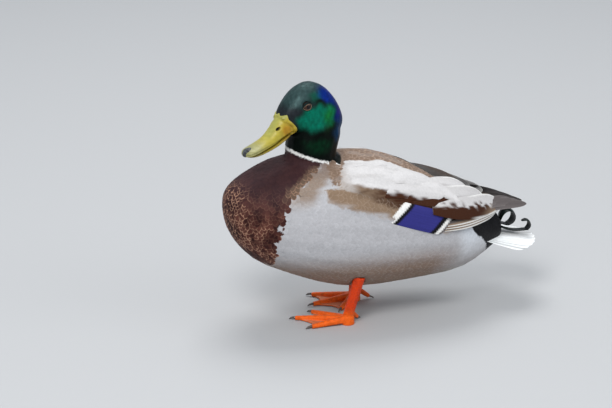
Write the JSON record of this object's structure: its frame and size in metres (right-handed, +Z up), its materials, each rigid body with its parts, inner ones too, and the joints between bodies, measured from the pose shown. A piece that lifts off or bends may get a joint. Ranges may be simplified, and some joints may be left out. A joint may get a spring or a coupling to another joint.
{
  "type": "mallard drake",
  "caption": "Standing male duck with green head, white collar, folded wings with a blue patch, curled tail feathers and webbed feet.",
  "frame": {"origin": "on the ground under the middle of the bounding box", "axes": "-X towards the bill, -Y towards the bird's left side, +Z up"},
  "size_m": [0.3632, 0.1428, 0.2703],
  "materials": {
    "head_feathers": "glossy green feathers",
    "collar_feathers": "white feathers",
    "eye": "wet dark brown",
    "bill_horn": "olive yellow horn, satin",
    "bill_edge": "olive yellow horn, satin",
    "bill_nail": "black horn, satin",
    "breast_feathers": "chestnut feathers",
    "belly_feathers": "pale grey feathers, finely barred",
    "mantle_feathers": "brown-grey feathers with pale edges",
    "scapular_feathers": "whitish grey feathers",
    "covert_feathers": "brown feathers",
    "speculum_feathers": "glossy blue-violet feathers",
    "flight_feathers": "dark brown feathers",
    "tail_feathers": "white feathers",
    "black_feathers": "black feathers",
    "leg_skin": "orange scaled skin",
    "claw": "dark horn"
  },
  "bodies": {
    "root": {"head": "head_feathers", "neck": "head_feathers", "collar": "collar_feathers", "eye_left": "eye", "eye_right": "eye", "bill_upper": "bill_horn", "bill_nail": "bill_nail", "bill_lower": "bill_edge", "scapulars_left": "scapular_feathers", "wing_coverts_left": "covert_feathers", "speculum_left": "speculum_feathers", "scapulars_right": "scapular_feathers", "wing_coverts_right": "covert_feathers", "speculum_right": "speculum_feathers", "mantle": "mantle_feathers", "breast": "breast_feathers", "rump": "black_feathers", "undertail": "black_feathers", "tail": "tail_feathers", "tertials_left": "scapular_feathers", "primaries_left": "flight_feathers", "tertials_right": "scapular_feathers", "primaries_right": "flight_feathers", "tail_curl_1": "black_feathers", "tail_curl_2": "black_feathers", "thigh_left": "belly_feathers", "claw_outer_left": "claw", "claw_middle_left": "claw", "claw_inner_left": "claw", "foot_left": "leg_skin", "shank_left": "leg_skin", "hind_toe_left": "leg_skin", "claw_hind_left": "claw", "thigh_right": "belly_feathers", "claw_outer_right": "claw", "claw_middle_right": "claw", "claw_inner_right": "claw", "foot_right": "leg_skin", "shank_right": "leg_skin", "hind_toe_right": "leg_skin", "claw_hind_right": "claw", "trunk": "belly_feathers"}
  },
  "joints": []
}
